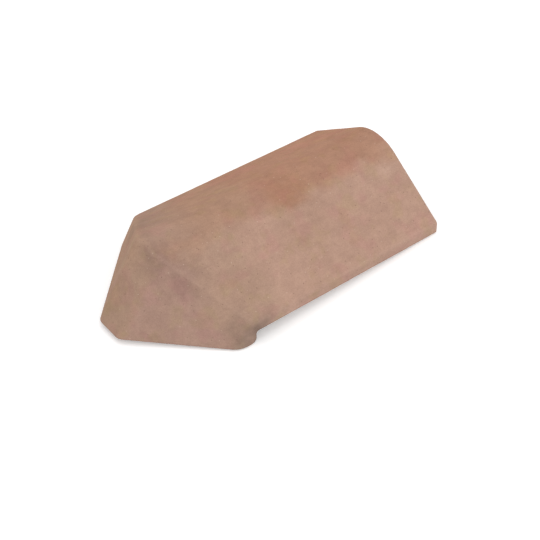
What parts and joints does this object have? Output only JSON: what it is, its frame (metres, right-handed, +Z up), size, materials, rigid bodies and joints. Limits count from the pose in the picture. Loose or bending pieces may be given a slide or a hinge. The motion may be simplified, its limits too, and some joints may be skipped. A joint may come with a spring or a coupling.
{
  "type": "hip starter tile",
  "caption": "Angular clay tile that starts a roof hip: sloping wings meet in a rounded crest, closed at the eaves by a mitred, leaning nose with a drop apron.",
  "frame": {"origin": "centre of the tile's box in X and Y, on the level floor that it rests on", "axes": "+X runs up the hip from the closed nose to the open upper end, +Z is up. The bedding plane under the wings is tipped about Y, so that the nose stands higher than the upper end."},
  "size_m": [0.4248, 0.2504, 0.1086],
  "materials": {
    "fired_clay": "unglazed, matt, pinkish brown fired clay with soft mottling"
  },
  "bodies": {
    "root": {"hip_starter_tile": "fired_clay"}
  },
  "joints": []
}
